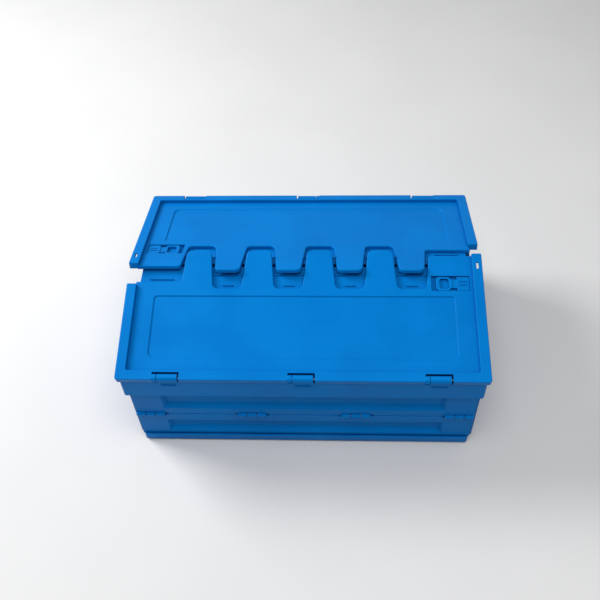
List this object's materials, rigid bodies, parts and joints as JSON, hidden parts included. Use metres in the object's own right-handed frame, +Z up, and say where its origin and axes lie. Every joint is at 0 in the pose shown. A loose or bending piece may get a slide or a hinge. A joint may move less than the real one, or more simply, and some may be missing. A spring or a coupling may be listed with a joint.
{
  "type": "collapsible storage crate",
  "caption": "Collapsible plastic crate with a two-leaf interlocking lid; end panels swing up, the long walls fold in and the top frame drops onto the base.",
  "frame": {"origin": "centre of the base tray's underside, on the floor", "axes": "+Z up, +X along the crate's long side, front long wall towards -Y"},
  "size_m": [0.6, 0.428, 0.2594],
  "materials": {
    "crate_plastic": "satin moulded polypropylene, blue",
    "lid_plastic": "satin moulded polypropylene, blue",
    "lock_plastic": "satin moulded polypropylene, blue",
    "pin_steel": "drawn steel wire, dull"
  },
  "bodies": {
    "base": {"base_tray": "crate_plastic", "front_base_pins": "pin_steel", "rear_base_pins": "pin_steel"},
    "front_lower": {"front_lower_wall": "crate_plastic"},
    "front_upper": {"front_upper_wall": "crate_plastic", "front_middle_pins": "pin_steel"},
    "frame": {"top_frame": "crate_plastic", "front_top_pins": "pin_steel", "rear_top_pins": "pin_steel", "front_lid_pins": "pin_steel", "rear_lid_pins": "pin_steel", "left_end_pins": "pin_steel", "right_end_pins": "pin_steel"},
    "rear_lower": {"rear_lower_wall": "crate_plastic"},
    "rear_upper": {"rear_upper_wall": "crate_plastic", "rear_middle_pins": "pin_steel"},
    "left_end": {"left_end_panel": "crate_plastic"},
    "right_end": {"right_end_panel": "crate_plastic"},
    "front_leaf": {"front_lid": "lid_plastic"},
    "rear_leaf": {"rear_lid": "lid_plastic"},
    "front_lock": {"front_lid_lock": "lock_plastic"},
    "rear_lock": {"rear_lid_lock": "lock_plastic"}
  },
  "joints": [
    {"name": "wall_fold", "type": "hinge", "parent": "base", "child": "front_lower", "pos_m": [0, -0.197, 0.011], "axis": [-1, 0, 0], "range_deg": [0, 88]},
    {"name": "front_middle_hinge", "type": "hinge", "parent": "front_lower", "child": "front_upper", "pos_m": [0, -0.202, 0.083], "axis": [-1, 0, 0], "range_deg": [-176, 0]},
    {"name": "front_top_hinge", "type": "hinge", "parent": "front_upper", "child": "frame", "pos_m": [0, -0.197, 0.155], "axis": [-1, 0, 0], "range_deg": [0, 88]},
    {"name": "rear_foot_hinge", "type": "hinge", "parent": "base", "child": "rear_lower", "pos_m": [0, 0.197, 0.011], "axis": [1, 0, 0], "range_deg": [0, 88]},
    {"name": "rear_middle_hinge", "type": "hinge", "parent": "rear_lower", "child": "rear_upper", "pos_m": [0, 0.202, 0.083], "axis": [1, 0, 0], "range_deg": [-176, 0]},
    {"name": "left_end_swing", "type": "hinge", "parent": "frame", "child": "left_end", "pos_m": [-0.2884, 0, 0.173], "axis": [0, -1, 0], "range_deg": [0, 90]},
    {"name": "right_end_swing", "type": "hinge", "parent": "frame", "child": "right_end", "pos_m": [0.2884, 0, 0.173], "axis": [0, 1, 0], "range_deg": [0, 90]},
    {"name": "lid_swing", "type": "hinge", "parent": "frame", "child": "front_leaf", "pos_m": [0, -0.2075, 0.201], "axis": [1, 0, 0], "range_deg": [-13.5, 180]},
    {"name": "rear_lid_swing", "type": "hinge", "parent": "frame", "child": "rear_leaf", "pos_m": [0, 0.2075, 0.201], "axis": [-1, 0, 0], "range_deg": [-13.5, 180]},
    {"name": "front_lock_slide", "type": "slide", "parent": "front_leaf", "child": "front_lock", "axis": [-1, 0, 0], "range_m": [0, 0.006], "stiffness_N_per_m": 300, "springref_m": -0.002},
    {"name": "rear_lock_slide", "type": "slide", "parent": "rear_leaf", "child": "rear_lock", "axis": [1, 0, 0], "range_m": [0, 0.006], "stiffness_N_per_m": 300, "springref_m": -0.002}
  ],
  "couplings": [
    {"joint": "front_middle_hinge", "follows": "wall_fold", "ratio": -2},
    {"joint": "front_top_hinge", "follows": "wall_fold", "ratio": 1},
    {"joint": "rear_foot_hinge", "follows": "wall_fold", "ratio": 1},
    {"joint": "rear_middle_hinge", "follows": "wall_fold", "ratio": -2},
    {"joint": "rear_lid_swing", "follows": "lid_swing", "ratio": 1}
  ]
}
